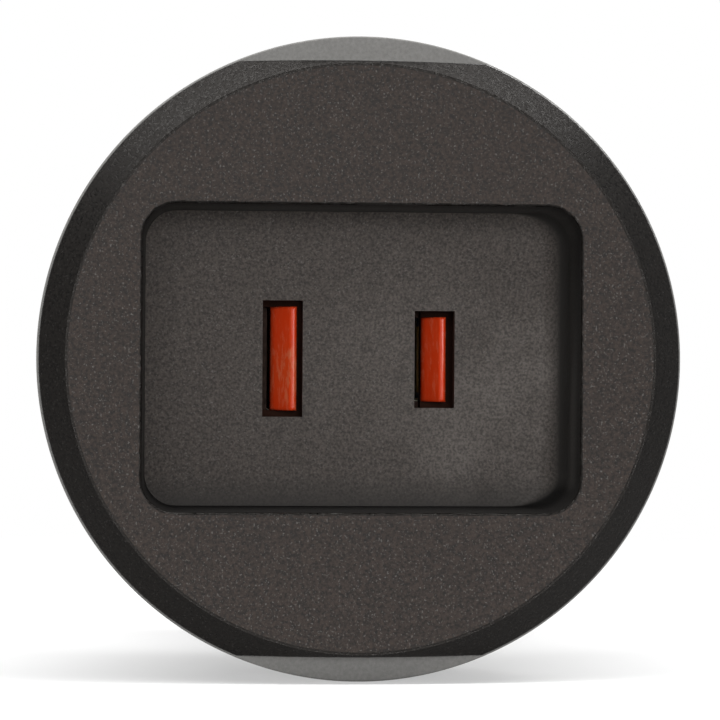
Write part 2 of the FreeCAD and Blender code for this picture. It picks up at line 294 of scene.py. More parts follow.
shape(cover, moulded_block((guide_left, floor_back_y - weld, -guide_half), (guide_right, guide_y, guide_half),
                           guide_corner), "UNION")
for level in (-1, 1):
    ear = [(floor_back_y - weld, ear_radius), (guide_y, ear_radius)]
    shape(cover, turned(ear, outlet[0], level * plate_screw_z, sides=32), "UNION")
    pilot = [(guide_y - plate_pilot_depth, plate_pilot), (guide_y + weld, plate_pilot)]
    shape(cover, turned(pilot, outlet[0], level * plate_screw_z, sides=24), "DIFFERENCE")
shape(cover, moulded_block((guide_left + guide_wall, floor_back_y, guide_wall - guide_half),
                           (guide_right - guide_wall, guide_y + weld, guide_half - guide_wall)), "DIFFERENCE")
shape(cover, moulded_block((post_left, floor_back_y - weld, -spring_half),
                           (post_left + spring_seat, slide_back_y, spring_half)), "UNION")
shape(cover, spigot(post_left - spigot_length, post_left + weld, spring_y, spigot_radius), "UNION")

fillet_y = floor_y - floor_fillet
well = moulded_block((-half_width, front_y - well_over, -half_height), (half_width, fillet_y, half_height),
                     well_corner, steps=12)
edit(well)
select("FACE", lambda face: abs(face.normal.y) > 0.9)
bpy.ops.mesh.delete(type="ONLY_FACE")
select("EDGE", lambda edge: not along_y(edge) and edge.calc_length() > 4 * well_corner)
bpy.ops.mesh.subdivide(number_cuts=rim_cuts)
bpy.ops.mesh.select_all(action="SELECT")
bpy.ops.mesh.fill_holes(sides=0)
bpy.ops.mesh.select_all(action="SELECT")
bpy.ops.mesh.normals_make_consistent(inside=False)
select("FACE", lambda face: face.normal.y > 0.9)
left, right, top, level = -half_width, half_width, half_height, fillet_y
for step in range(1, fillet_steps + 1):
    turn = math.radians(90) * step / fillet_steps
    next_level = fillet_y + floor_fillet * math.sin(turn)
    near_floor = max(0, floor_edge - (floor_y - next_level))
    drawn_in = floor_edge - math.sqrt(floor_edge ** 2 - near_floor ** 2)
    next_left = drawn_in - half_width
    next_right = half_width - floor_fillet * (1 - math.cos(turn))
    next_top = half_height - drawn_in
    share = (next_right - next_left) / (right - left)
    still_x = (next_left - share * left) / (1 - share)
    bpy.ops.mesh.extrude_region_move(TRANSFORM_OT_translate={"value": (0, next_level - level, 0)})
    bpy.ops.transform.resize(value=(share, 1, next_top / top), center_override=(still_x, next_level, 0))
    left, right, top, level = next_left, next_right, next_top, next_level
bpy.ops.object.mode_set(mode="OBJECT")
shape(cover, well, "DIFFERENCE")
for pole in poles.values():
    low = (pole["x"] - slot_width / 2, floor_y - weld, -pole["slot"] / 2)
    high = (pole["x"] + slot_width / 2, floor_back_y + weld, pole["slot"] / 2)
    shape(cover, moulded_block(low, high), "DIFFERENCE")


def on_mouth(edge):
    """Whether an edge runs round the mouth of the well."""
    return all(abs(v.co.y - front_y) < snap and abs(v.co.x) < half_width + snap
               and abs(v.co.z) < half_height + snap for v in edge.verts)


def on_rim(vertex):
    """Whether a vertex lies on the front of the mouth's rounded edge."""
    return (vertex.co.y < front_y + rim_depth and abs(vertex.co.x) < half_width + mouth_round + snap
            and abs(vertex.co.z) < half_height + mouth_round + snap)


edit(cover)
select("EDGE", on_mouth)
bpy.ops.mesh.bevel(offset=mouth_round, segments=3, affect="EDGES")
select("VERT", on_rim)
bpy.ops.transform.vertex_random(offset=rim_nick, uniform=0.6, normal=0.0, seed=4)
bpy.ops.object.mode_set(mode="OBJECT")
smooth(cover)


def add_node(tree, kind, **values):
    """A new node with values on its sockets, named as on the node with underscores for spaces."""
    node = tree.nodes.new(kind)
    for name, value in values.items():
        node.inputs[name.replace("_", " ")].default_value = value
    return node


def new_group(name, inputs, outputs):
    """An empty shader node group with number sockets: its tree, its input node and its output node."""
    tree = bpy.data.node_groups.new(name, "ShaderNodeTree")
    for title, value in inputs.items():
        socket = tree.interface.new_socket(name=title, in_out="INPUT", socket_type="NodeSocketFloat")
        socket.default_value = value
    for title in outputs:
        tree.interface.new_socket(name=title, in_out="OUTPUT", socket_type="NodeSocketFloat")
    return tree, tree.nodes.new("NodeGroupInput"), tree.nodes.new("NodeGroupOutput")


def noise(tree, points, scale, detail=2.0, roughness=0.5):
    """A noise texture on given points."""
    made = add_node(tree, "ShaderNodeTexNoise", Scale=scale, Detail=detail, Roughness=roughness)
    tree.links.new(points, made.inputs["Vector"])
    return made.outputs["Fac"]


def ranged(tree, value, low, high, to_low=0.0, to_high=1.0):
    """A value mapped from one range to another and kept inside it."""
    made = add_node(tree, "ShaderNodeMapRange")
    for socket, number in zip(("From Min", "From Max", "To Min", "To Max"), (low, high, to_low, to_high)):
        made.inputs[socket].default_value = number
    tree.links.new(value, made.inputs["Value"])
    return made.outputs["Result"]


grain_group, grain_in, grain_out = new_group("mould_grain", {"Size": 0.1 * mm},
                                             ["Height", "Specks", "Mottle"])
coords = grain_group.nodes.new("ShaderNodeTexCoord")
per_grain = add_node(grain_group, "ShaderNodeVectorMath")
per_grain.operation = "DIVIDE"
grain_group.links.new(coords.outputs["Object"], per_grain.inputs[0])
grain_group.links.new(grain_in.outputs["Size"], per_grain.inputs[1])
grain_points = per_grain.outputs["Vector"]
height_noise = noise(grain_group, grain_points, scale=0.42, detail=3, roughness=0.62)
grain_group.links.new(height_noise, grain_out.inputs["Height"])
speck_noise = noise(grain_group, grain_points, scale=0.6, detail=2, roughness=0.5)
grain_group.links.new(ranged(grain_group, speck_noise, 0.60, 0.74), grain_out.inputs["Specks"])
mottle_noise = noise(grain_group, grain_points, scale=0.045, detail=3, roughness=0.6)
grain_group.links.new(mottle_noise, grain_out.inputs["Mottle"])


def new_material(name):
    """A material with its Principled shader."""
    made = bpy.data.materials.new(name)
    made.use_nodes = True
    return made, made.node_tree, made.node_tree.nodes["Principled BSDF"]


def mixed(tree, share, first, second):
    """Two colours mixed by a share. Each is a colour or a socket."""
    made = tree.nodes.new("ShaderNodeMix")
    made.data_type = "RGBA"
    tree.links.new(share, made.inputs[0])
    sockets = [s for s in made.inputs if s.type == "RGBA"]
    for socket, colour in zip(sockets, (first, second)):
        if isinstance(colour, bpy.types.NodeSocket):
            tree.links.new(colour, socket)
        else:
            socket.default_value = (*colour, 1)
    return next(s for s in made.outputs if s.type == "RGBA")


def roughened(tree, shader, value, low, high):
    """Roughness between two limits, by a noise value."""
    tree.links.new(ranged(tree, value, 0.3, 0.7, low, high), shader.inputs["Roughness"])


def bumped(tree, shader, height, strength, distance):
    """A bump on the shader's normal."""
    made = add_node(tree, "ShaderNodeBump", Strength=strength, Distance=distance)
    tree.links.new(height, made.inputs["Height"])
    tree.links.new(made.outputs["Normal"], shader.inputs["Normal"])


def placed_group(tree, group, **values):
    """A node group placed in a material with its own values."""
    made = tree.nodes.new("ShaderNodeGroup")
    made.node_tree = group
    for name, value in values.items():
        made.inputs[name].default_value = value
    return made


def black_plastic(name, colour, roughness, specular, grain, contrast, speck, bump, spread=0.06):
    """Moulded black plastic: its grain shows as fine pale and dark spots, specks and a rough surface."""
    made, tree, shader = new_material(name)
    texture = placed_group(tree, grain_group, Size=grain)
    dark = [part * (1 - contrast) for part in colour]
    pale = [part * (1 + contrast) for part in colour]
    spots = mixed(tree, ranged(tree, texture.outputs["Height"], 0.36, 0.64), dark, pale)
    cloudy = mixed(tree, ranged(tree, texture.outputs["Mottle"], 0.3, 0.7, 0.0, 0.15), spots, dark)
    tree.links.new(mixed(tree, texture.outputs["Specks"], cloudy, speck), shader.inputs["Base Color"])
    roughened(tree, shader, texture.outputs["Height"], roughness - spread, roughness + spread)
    shader.inputs["Specular IOR Level"].default_value = specular
    bumped(tree, shader, texture.outputs["Height"], bump, distance=0.05 * mm)
    return made


def multiplied(tree, *factors):
    """The product of several values."""
    product = factors[0]
    for factor in factors[1:]:
        made = tree.nodes.new("ShaderNodeMath")
        made.operation = "MULTIPLY"
        tree.links.new(product, made.inputs[0])
        tree.links.new(factor, made.inputs[1])
        product = made.outputs[0]
    return product


def paint_well_light_and_shade(material, paler_tone, wall_dark_shade, wall_soft_shade):
    """Paints light and shade on the well. The floor is paler in random clouds, made strongest at the lower
    right by painted light, and a painted shadow darkens it along its lower edge.
    Where the surface turns to the walls it fades to their painted shade, which is darker at the mouth and on
    the walls that face up."""
    # Heights of the floor's painted light and of the painted shadow along its lower edge, and depths of the
    # walls' painted shade:
    painted_light_bottom = -1 * mm
    painted_light_top = 7 * mm
    painted_shadow_edge = -half_height - 0.5 * mm
    painted_shadow_end = -half_height + 2.8 * mm
    shade_start = front_y + 1.5 * mm
    shade_end = front_y + 4.5 * mm
    tree = material.node_tree
    shader = tree.nodes["Principled BSDF"]
    moulded = shader.inputs["Base Color"].links[0].from_socket
    place = tree.nodes.new("ShaderNodeTexCoord")
    facing = tree.nodes.new("ShaderNodeSeparateXYZ")
    tree.links.new(place.outputs["Normal"], facing.inputs["Vector"])
    spread = tree.nodes.new("ShaderNodeSeparateXYZ")
    tree.links.new(place.outputs["Object"], spread.inputs["Vector"])
    grain = next(node for node in tree.nodes if node.type == "GROUP").outputs["Height"]
    pale_mix = mixed(tree, ranged(tree, grain, 0.36, 0.64), [part * 0.6 for part in paler_tone],
                 [part * 1.4 for part in paler_tone])
    cloud_noise = noise(tree, place.outputs["Object"], scale=150, detail=3, roughness=0.55)
    clouds = ranged(tree, cloud_noise, 0.35, 0.65, 0.2, 1.0)
    # Painted light: the paler tone grows towards the right and towards the lower middle of the floor, times
    # the random clouds.
    painted_light_right = ranged(tree, spread.outputs["X"], -half_width, half_width)
    painted_light_low = ranged(tree, spread.outputs["Z"], painted_light_bottom, painted_light_top, 1.0, 0.25)
    # Painted shadow: along its lower edge the floor turns to the walls' lighter painted shade.
    outside_edge_shadow = ranged(tree, spread.outputs["Z"], painted_shadow_edge, painted_shadow_end)
    floor_colour = mixed(tree, multiplied(tree, clouds, painted_light_right, painted_light_right, painted_light_low), moulded, pale_mix)
    floor_colour = mixed(tree, outside_edge_shadow, wall_soft_shade, floor_colour)
    # Painted shade on the walls: darkest at the mouth, lighter towards the floor, and darkest again on the
    # walls that face up.
    depth = ranged(tree, spread.outputs["Y"], shade_start, shade_end)
    painted_wall_shade = mixed(tree, depth, wall_dark_shade, wall_soft_shade)
    painted_wall_shade = mixed(tree, ranged(tree, facing.outputs["Z"], 0.05, 0.45), painted_wall_shade, wall_dark_shade)
    # Where the floor turns into the walls, its colour fades into the walls' painted shade.
    turned_to_wall = ranged(tree, facing.outputs["Y"], -1.0, -0.6)
    tree.links.new(mixed(tree, turned_to_wall, floor_colour, painted_wall_shade), shader.inputs["Base Color"])


face_black = black_plastic("cover_grained_black", colour=(0.0238, 0.0174, 0.0144), roughness=0.60,
                           specular=0.22, grain=0.10 * mm, contrast=0.75, speck=(0.118, 0.112, 0.106),
                           bump=0.45)
# The chamfer is smoother than the face, and its copy of the same black plastic is also far darker: painted
# shade that keeps its sides and foot dark, so that only the light from above shows on it.
ring_black = black_plastic("cover_chamfer_black", colour=(0.0040, 0.0034, 0.0030), roughness=0.36,
                           specular=0.115, grain=0.10 * mm, contrast=0.8, speck=(0.030, 0.028, 0.0265),
                           bump=0.6, spread=0.2)
warm_gloss = (1.0, 0.94, 0.89, 1)
ring_black.node_tree.nodes["Principled BSDF"].inputs["Specular Tint"].default_value = warm_gloss
# The well gets a far paler copy of the same black plastic: painted light that makes up for the light its deep
# walls keep off the floor.
well_black = black_plastic("cover_well_black", colour=(0.072, 0.061, 0.0545), roughness=0.52, specular=0.12,
                           grain=0.09 * mm, contrast=0.55, speck=(0.165, 0.153, 0.143), bump=0.4)
# The slot walls get a browner, paler copy of the same black plastic: painted light in the deep, narrow slots.
slot_black = black_plastic("cover_slot_black", colour=(0.034, 0.022, 0.0175), roughness=0.7, specular=0.08,
                           grain=0.10 * mm, contrast=0.4, speck=(0.044, 0.031, 0.026), bump=0.2)
# Painted light and shade in the well: a paler colour for the floor's painted light, and two dark colours for
# the walls' painted shade.
paint_well_light_and_shade(well_black, paler_tone=(0.180, 0.161, 0.148), wall_dark_shade=(0.0072, 0.0068, 0.0065),
            wall_soft_shade=(0.034, 0.032, 0.030))
cover.data.materials.clear()
for material in (ring_black, face_black, well_black, slot_black):
    cover.data.materials.append(material)


def in_well(face):
    """Whether a face belongs to the inside of the well."""
    middle = face.calc_center_median()
    return (front_y + mouth_round < middle.y < floor_y + snap and abs(middle.x) < half_width + snap
            and abs(middle.z) < half_height + snap)


def in_slot(face):
    """Whether a face belongs to the inside of a blade slot."""
    middle = face.calc_center_median()
    return floor_y + snap < middle.y < floor_back_y - snap and any(
        abs(middle.x - pole["x"]) < slot_width / 2 + snap and abs(middle.z) < pole["slot"] / 2 + snap
        for pole in poles.values())


def on_face(face):
    """Whether a face lies in the plane of the outlet's face."""
    return abs(face.calc_center_median().y - front_y) < snap


edit(cover)
for number, wanted in enumerate((on_face, in_well, in_slot), 1):
    select("FACE", wanted)
    cover.active_material_index = number
    bpy.ops.object.material_slot_assign()
bpy.ops.object.mode_set(mode="OBJECT")
fitted(cover, "front_cover_shell", None, "adapter", "front_cover")


# Shutter
# The red slide behind the two slots: a flat frame with a ramped block for each blade. Moulded in glossy
# polyacetal and held in the cover's guide, where blades that push on its ramps slide it aside.
shutter_low, shutter_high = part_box("shutter")
ridge_y = shutter_low.y
block_height = 2.6 * mm
base_front_y = ridge_y + block_height
base_back_y = shutter_high.y
ramp_height = 2.1 * mm
ridge_land = 0.5 * mm
block_round = 0.24 * mm
block_shift = 0.15 * mm
block_edge_turn = 0.2
shutter_bar = 1.2 * mm
lug_gap = 0.25 * mm
lug_setback = 0.1 * mm
# Faces this near the frame's face, or behind it, get the painted shade:
shaded_face_margin = 0.05 * mm
shutter = moulded_block((shutter_low.x, base_front_y, shutter_low.z),
                        (shutter_high.x, base_back_y, shutter_high.z))
lug_left = poles["neutral"]["x"] + slot_width / 2 + lug_gap
lug_right = lug_left + spring_seat
half_opening = poles["neutral"]["block"] / 2
windows = [
    (shutter_low.x + shutter_bar, poles["neutral"]["x"] + block_shift - poles["neutral"]["width"] / 2),
    (lug_right, poles["line"]["x"] + block_shift - poles["line"]["width"] / 2),
]
for left, right in windows:
    shape(shutter, moulded_block((left, base_front_y - weld, -half_opening),
                                 (right, base_back_y + weld, half_opening)), "DIFFERENCE")
for pole in poles.values():
    left = pole["x"] + block_shift - pole["width"] / 2
    right = left + pole["width"]
    ramp = moulded_block((left, ridge_y, -pole["block"] / 2), (right, base_front_y + weld, pole["block"] / 2))
    edit(ramp)
    bpy.ops.mesh.select_all(action="SELECT")
    bpy.ops.mesh.bisect(plane_co=(right - ridge_land, 0, 0), plane_no=(1, 0, 0))
    select("VERT", lambda v: abs(v.co.x - left) < snap and abs(v.co.y - ridge_y) < snap)
    bpy.ops.transform.translate(value=(0, ramp_height, 0))
    select("EDGE", lambda edge: max(v.co.y for v in edge.verts) < base_front_y
           and edge.calc_face_angle(0) > block_edge_turn)
    bpy.ops.mesh.bevel(offset=block_round, segments=4, affect="EDGES")
    bpy.ops.object.mode_set(mode="OBJECT")
    shape(shutter, ramp, "UNION")
shape(shutter, moulded_block((lug_left, spring_y - spring_half, -spring_half),
                             (lug_right, base_back_y - lug_setback, spring_half)), "UNION")
shape(shutter, spigot(lug_right - weld, lug_right + spigot_length, spring_y, spigot_radius), "UNION")
smooth(shutter)


def red_plastic():
    """Glossy red, paler in streaks where the blades rub it, with painted shade darkening it towards the foot
    of the blocks.
    """
    rubbed_most = (poles["neutral"]["x"] + 0.5 * mm, ridge_y, -1.1 * mm)
    rubbed_near = 0.6 * mm
    rubbed_far = 3.4 * mm
    foot_shade_start = ridge_y + 1.6 * mm
    made, tree, shader = new_material("shutter_gloss_red")
    place = tree.nodes.new("ShaderNodeTexCoord")
    stretch = add_node(tree, "ShaderNodeMapping", Scale=(1, 1, 0.3))
    tree.links.new(place.outputs["Object"], stretch.inputs["Vector"])
    reach = tree.nodes.new("ShaderNodeVectorMath")
    reach.operation = "DISTANCE"
    tree.links.new(place.outputs["Object"], reach.inputs[0])
    reach.inputs[1].default_value = rubbed_most
    patch = ranged(tree, reach.outputs["Value"], rubbed_near, rubbed_far, 1.0, 0.25)
    streak_noise = noise(tree, stretch.outputs["Vector"], scale=2200, detail=4, roughness=0.7)
    streaks = ranged(tree, streak_noise, 0.46, 0.72)
    paler_tone = multiplied(tree, patch, streaks)
    clean = mixed(tree, patch, (0.93, 0.052, 0.0075), (0.91, 0.084, 0.0165))
    pale_mix = mixed(tree, paler_tone, clean, (0.90, 0.30, 0.15))
    parts = tree.nodes.new("ShaderNodeSeparateXYZ")
    tree.links.new(place.outputs["Object"], parts.inputs["Vector"])
    # Painted shade: the red darkens towards the foot of the blocks, where they lie deeper in the slots.
    foot_shade = ranged(tree, parts.outputs["Y"], foot_shade_start, base_front_y)
    tree.links.new(mixed(tree, foot_shade, pale_mix, (0.10, 0.012, 0.004)), shader.inputs["Base Color"])
    tree.links.new(ranged(tree, paler_tone, 0, 1, 0.24, 0.5), shader.inputs["Roughness"])
    ripple = noise(tree, place.outputs["Object"], scale=3500, detail=3, roughness=0.6)
    bumped(tree, shader, ripple, strength=0.2, distance=0.02 * mm)
    return made


def shaded_red():
    """The same red, dark, matt and mottled: painted shade on the frame that lies deep behind the slots."""
    made, tree, shader = new_material("shutter_painted_shade_red")
    texture = placed_group(tree, grain_group, Size=0.2 * mm)
    tree.links.new(mixed(tree, ranged(tree, texture.outputs["Mottle"], 0.35, 0.65), (0.030, 0.014, 0.010),
                         (0.046, 0.019, 0.013)), shader.inputs["Base Color"])
    roughened(tree, shader, texture.outputs["Height"], low=0.75, high=0.95)
    shader.inputs["Specular IOR Level"].default_value = 0.05
    return made


shutter.data.materials.clear()
shutter.data.materials.append(red_plastic())
shutter.data.materials.append(shaded_red())
# The frame behind the blocks, and all that lies behind its face, gets the dark red: painted shade.
edit(shutter)
select("FACE", lambda face: face.calc_center_median().y > base_front_y - shaded_face_margin)
shutter.active_material_index = 1
bpy.ops.object.material_slot_assign()
bpy.ops.object.mode_set(mode="OBJECT")
fitted(shutter, "shutter_red", None, "shutter", "shutter")


# Shutter spring
# A small compression spring wound from stainless wire. It stands between the shutter's lug and the cover's
# post and pushes the shutter back behind the slots.
wire_radius = 0.08 * mm
coil_radius = 1.22 * mm
coil_turns = 4
coil_steps = 48 * coil_turns
coil_inset = 0.1 * mm
coil_start = lug_right + coil_inset
coil_length = post_left - coil_inset - coil_start
bpy.ops.object.select_all(action="DESELECT")
bpy.ops.mesh.primitive_circle_add(vertices=12, radius=wire_radius, location=(0, 0, coil_radius),
                                  rotation=(math.radians(90), 0, 0))
spring = place_applied()
winding = spring.modifiers.new("winding", "SCREW")
winding.axis = "X"
winding.angle = 2 * math.pi * coil_turns
winding.screw_offset = coil_length
winding.steps = coil_steps
winding.render_steps = coil_steps
bpy.ops.object.modifier_apply(modifier=winding.name)
edit(spring)
bpy.ops.mesh.select_all(action="SELECT")
bpy.ops.mesh.fill_holes(sides=0)
bpy.ops.mesh.select_all(action="SELECT")
bpy.ops.mesh.normals_make_consistent(inside=False)
bpy.ops.transform.translate(value=(coil_start, spring_y, 0))
bpy.ops.object.mode_set(mode="OBJECT")
smooth(spring, 40)


def drawn_metal(name, dark, pale, roughness, scale, stretch, bump):
    """Metal with fine marks drawn out along one direction."""
    made, tree, shader = new_material(name)
    place = tree.nodes.new("ShaderNodeTexCoord")
    drawn = add_node(tree, "ShaderNodeMapping", Scale=stretch)
    tree.links.new(place.outputs["Object"], drawn.inputs["Vector"])
    marks = noise(tree, drawn.outputs["Vector"], scale, detail=4, roughness=0.6)
    cloud = noise(tree, place.outputs["Object"], scale=400, detail=3, roughness=0.6)
    tree.links.new(mixed(tree, ranged(tree, cloud, 0.35, 0.65), dark, pale), shader.inputs["Base Color"])
    spread = 0.07
    roughened(tree, shader, marks, roughness - spread, roughness + spread)
    shader.inputs["Metallic"].default_value = 1
    bumped(tree, shader, marks, bump, distance=0.02 * mm)
    return made


stainless = drawn_metal("spring_stainless", dark=(0.5, 0.5, 0.49), pale=(0.6, 0.59, 0.58), roughness=0.28,
                        scale=4000, stretch=(1, 1, 1), bump=0.05)
fitted(spring, "shutter_spring_wire", stainless, "adapter", "shutter_spring")
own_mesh(spring)


# Shutter plate
# The plate that closes the guide behind the shutter, with a window for each blade. Moulded in black
# polyamide, brown with dust, and held to the back of the well by two small screws. It keeps its shape from
# the frame.


def repainted(node, material):
    """Gives a piece that keeps its shape from the frame its material."""
    piece = frame["nodes"][node]
    piece.data.materials.clear()
    piece.data.materials.append(material)


plate_black = black_plastic("plate_black", colour=(0.046, 0.028, 0.022), roughness=0.7, specular=0.06,
                            grain=0.2 * mm, contrast=0.4, speck=(0.060, 0.040, 0.033), bump=0.2)
repainted("shutter_plate", plate_black)


# Plate screws
# Two small cross-head screws that cut their own thread in the cover's ears. Zinc-plated steel, slightly
# yellowed. They keep their shape from the frame.
zinc = drawn_metal("screw_zinc", dark=(0.50, 0.49, 0.45), pale=(0.62, 0.60, 0.55), roughness=0.34,
                   scale=6000, stretch=(1, 1, 1), bump=0.08)
repainted("plate_screw_1", zinc)
repainted("plate_screw_2", zinc)


# Contact carrier
# The insulating block that stands round the two contacts and keeps them apart. Moulded in natural, ivory
# polyamide and clamped between the shutter plate and the contacts' tabs. It keeps its shape from the frame.


def ivory_plastic():
    """Natural polyamide: slightly cloudy, with a dull sheen."""
    made, tree, shader = new_material("insulator_ivory")
    texture = placed_group(tree, grain_group, Size=0.15 * mm)
    tree.links.new(mixed(tree, ranged(tree, texture.outputs["Mottle"], 0.3, 0.7), (0.62, 0.56, 0.42),
                         (0.70, 0.65, 0.52)), shader.inputs["Base Color"])
    roughened(tree, shader, texture.outputs["Height"], low=0.38, high=0.52)
    shader.inputs["Subsurface Weight"].default_value = 0.15
    shader.inputs["Subsurface Scale"].default_value = 0.4 * mm
    bumped(tree, shader, texture.outputs["Height"], strength=0.12, distance=0.02 * mm)
    return made


repainted("contact_carrier", ivory_plastic())


# Contacts
# Each is one brass strip, folded into a cage with two nipping fingers for the blade and a tab under the pin's
# rivet. Rolled sheet, slightly tarnished. They keep their shape from the frame.
brass = drawn_metal("contact_brass", dark=(0.40, 0.27, 0.10), pale=(0.58, 0.41, 0.17), roughness=0.38,
                    scale=3000, stretch=(1, 0.1, 1), bump=0.08)
repainted("neutral_contact", brass)
repainted("line_contact", brass)


# Rear housing
# The grey cup behind the cover, moulded in satin grey ABS in one with the round plug body. The plug has a
# channel for each earth spring of the wall socket, a groove for each guide rib, and a seat for each pin.
housing_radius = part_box("rear_housing")[1].x
flange_y = -17.5 * mm
flange_inner_y = boss_y
back_round = 1.6 * mm
front_round = 0.15 * mm
cup_radius = 23.85 * mm
cup_flat = 22.2 * mm
plug_radius = 18.5 * mm
plug_wall = 1.9 * mm
plug_inner_y = -3.2 * mm
plug_round = 0.35 * mm
plug_corner = 0.6 * mm
root_round = 0.6 * mm
root_turn = math.radians(75)
root_steps = 5
plate_thickness = 1.6 * mm
plate_back_y = guide_y + plate_thickness
channel_half = 4.5 * mm
channel_depth = 2.8 * mm
guide_groove_half = 2.5 * mm
guide_groove_depth = 2.0 * mm
pin_x = 9.5 * mm
pin_radius = 2.4 * mm
pin_root = 1.6 * mm
pin_seat = 0.8 * mm
rivet_gap = 0.03 * mm
screw_sink = 1.5 * mm
screw_seat_y = flange_y - screw_sink
screw_hole = 1.55 * mm
screw_recess = 2.5 * mm
carrier_half_width = 12.25 * mm
carrier_half_height = 7.57 * mm
carrier_rib = 1.4 * mm
carrier_fit = 0.1 * mm


def quarter(y, radius, depth, width, steps=6):
    """Stations of a rounded edge, from full radius at y to a radius smaller by width at y + depth."""
    turns = [math.radians(90) * step / steps for step in range(steps + 1)]
    return [(y + depth * math.sin(turn), radius - width + width * math.cos(turn)) for turn in turns]


def plug_form(inset, start_y, end_y):
    """Round plug with its channels and grooves, drawn in by an inset."""
    body = turned([(start_y, plug_radius - inset), (end_y, plug_radius - inset)], sides=128)
    over = 5 * mm
    channel_floor = plug_radius - channel_depth - inset
    groove_floor = plug_radius - guide_groove_depth - inset
    for side in (-1, 1):
        low, high = sorted((side * channel_floor, side * (plug_radius + over)))
        shape(body, moulded_block((-channel_half - inset, start_y - over, low),
                                  (channel_half + inset, end_y + over, high)), "DIFFERENCE")
        low, high = sorted((side * groove_floor, side * (plug_radius + over)))
        shape(body, moulded_block((low, start_y - over, -guide_groove_half - inset),
                                  (high, end_y + over, guide_groove_half + inset)), "DIFFERENCE")
    return body


front_edge = [(joint_y + front_round - depth, radius)
              for depth, radius in reversed(quarter(0, housing_radius, front_round, front_round, steps=3))]
back_edge = quarter(flange_y - back_round, housing_radius, back_round, back_round)
housing = turned(front_edge + back_edge, sides=256)


def beside_notch(edge):
    """Whether an edge of the round lies so near to a channel or groove that the rounding there reaches it."""
    middle = (edge.verts[0].co + edge.verts[1].co) / 2
    across = min(abs(abs(middle.x) - channel_half), abs(abs(middle.z) - guide_groove_half))
    return along_y(edge) and edge.calc_face_angle(0) < math.radians(10) and across < 1.5 * plug_corner


plug = plug_form(0, flange_y + root_round, -plug_round)
edit(plug)
select("EDGE", beside_notch)
bpy.ops.mesh.dissolve_edges(use_verts=True)
select("EDGE", lambda edge: along_y(edge) and edge.calc_face_angle(0) > math.radians(25))
bpy.ops.mesh.bevel(offset=plug_corner, segments=4, affect="EDGES")
select("FACE", lambda face: face.normal.y > 0.9)
end_round = quarter(0, plug_round, plug_round, plug_round)
for (depth, width), (next_depth, next_width) in zip(end_round, end_round[1:]):
    bpy.ops.mesh.inset(thickness=width - next_width, depth=next_depth - depth)
select("FACE", lambda face: face.normal.y < -0.9)
root = [root_turn * step / root_steps for step in range(root_steps + 1)]
flare = [(flange_y + root_round * (1 - math.sin(turn)), plug_radius + root_round * (1 - math.cos(turn)))
         for turn in root]
draw_out(flare + [(flange_y - weld, plug_radius + root_round)])
bpy.ops.object.mode_set(mode="OBJECT")
shape(housing, plug, "UNION")
hollow = turned([(joint_y - weld, cup_radius), (flange_inner_y, cup_radius)], sides=192)
shape(housing, trim_flats(hollow, cup_flat), "DIFFERENCE")
shape(housing, plug_form(plug_wall, flange_inner_y - weld, plug_inner_y), "DIFFERENCE")
rib_end = plug_radius - plug_wall / 2
rib_top = carrier_half_height + carrier_fit
rib_side = carrier_half_width + carrier_fit
end_z = math.sqrt(rib_end ** 2 - pin_x ** 2)
end_x = math.sqrt(rib_end ** 2 - rib_top ** 2)
ribs = [
    ((pin_x - carrier_rib, pin_x), (rib_top, end_z)),
    ((rib_side, end_x), (rib_top - carrier_rib, rib_top)),
]
for side in (-1, 1):
    for level in (-1, 1):
        for across, along in ribs:
            low_x, high_x = sorted(side * x for x in across)
            low_z, high_z = sorted(level * z for z in along)
            rib = moulded_block((low_x, plate_back_y, low_z), (high_x, plug_inner_y + weld, high_z))
            shape(housing, rib, "UNION")
for level in (-1, 1):
    hole = [(flange_inner_y - weld, screw_hole), (screw_seat_y + weld, screw_hole)]
    shape(housing, turned(hole, 0, level * boss_z, sides=32), "DIFFERENCE")
    recess = [(screw_seat_y, screw_recess), (flange_y + weld, screw_recess)]
    shape(housing, turned(recess, 0, level * boss_z, sides=48), "DIFFERENCE")
for side in (-1, 1):
    bore = pin_root + rivet_gap
    wide = pin_radius + rivet_gap
    slope = (wide - bore) / pin_seat
    seat = [(plug_inner_y - weld, bore), (-pin_seat, bore), (weld, wide + slope * weld)]
    shape(housing, turned(seat, side * pin_x, 0, sides=48), "DIFFERENCE")
smooth(housing)


def grey_plastic():
    """Satin grey moulding with a fine even grain."""
    made, tree, shader = new_material("housing_satin_grey")
    texture = placed_group(tree, grain_group, Size=0.1 * mm)
    tree.links.new(mixed(tree, ranged(tree, texture.outputs["Height"], 0.3, 0.7), (0.172, 0.168, 0.161),
                         (0.238, 0.234, 0.224)), shader.inputs["Base Color"])
    roughened(tree, shader, texture.outputs["Height"], low=0.52, high=0.64)
    shader.inputs["Specular IOR Level"].default_value = 0.25
    bumped(tree, shader, texture.outputs["Height"], strength=0.12, distance=0.03 * mm)
    return made


fitted(housing, "rear_housing_shell", grey_plastic(), "adapter", "rear_housing")


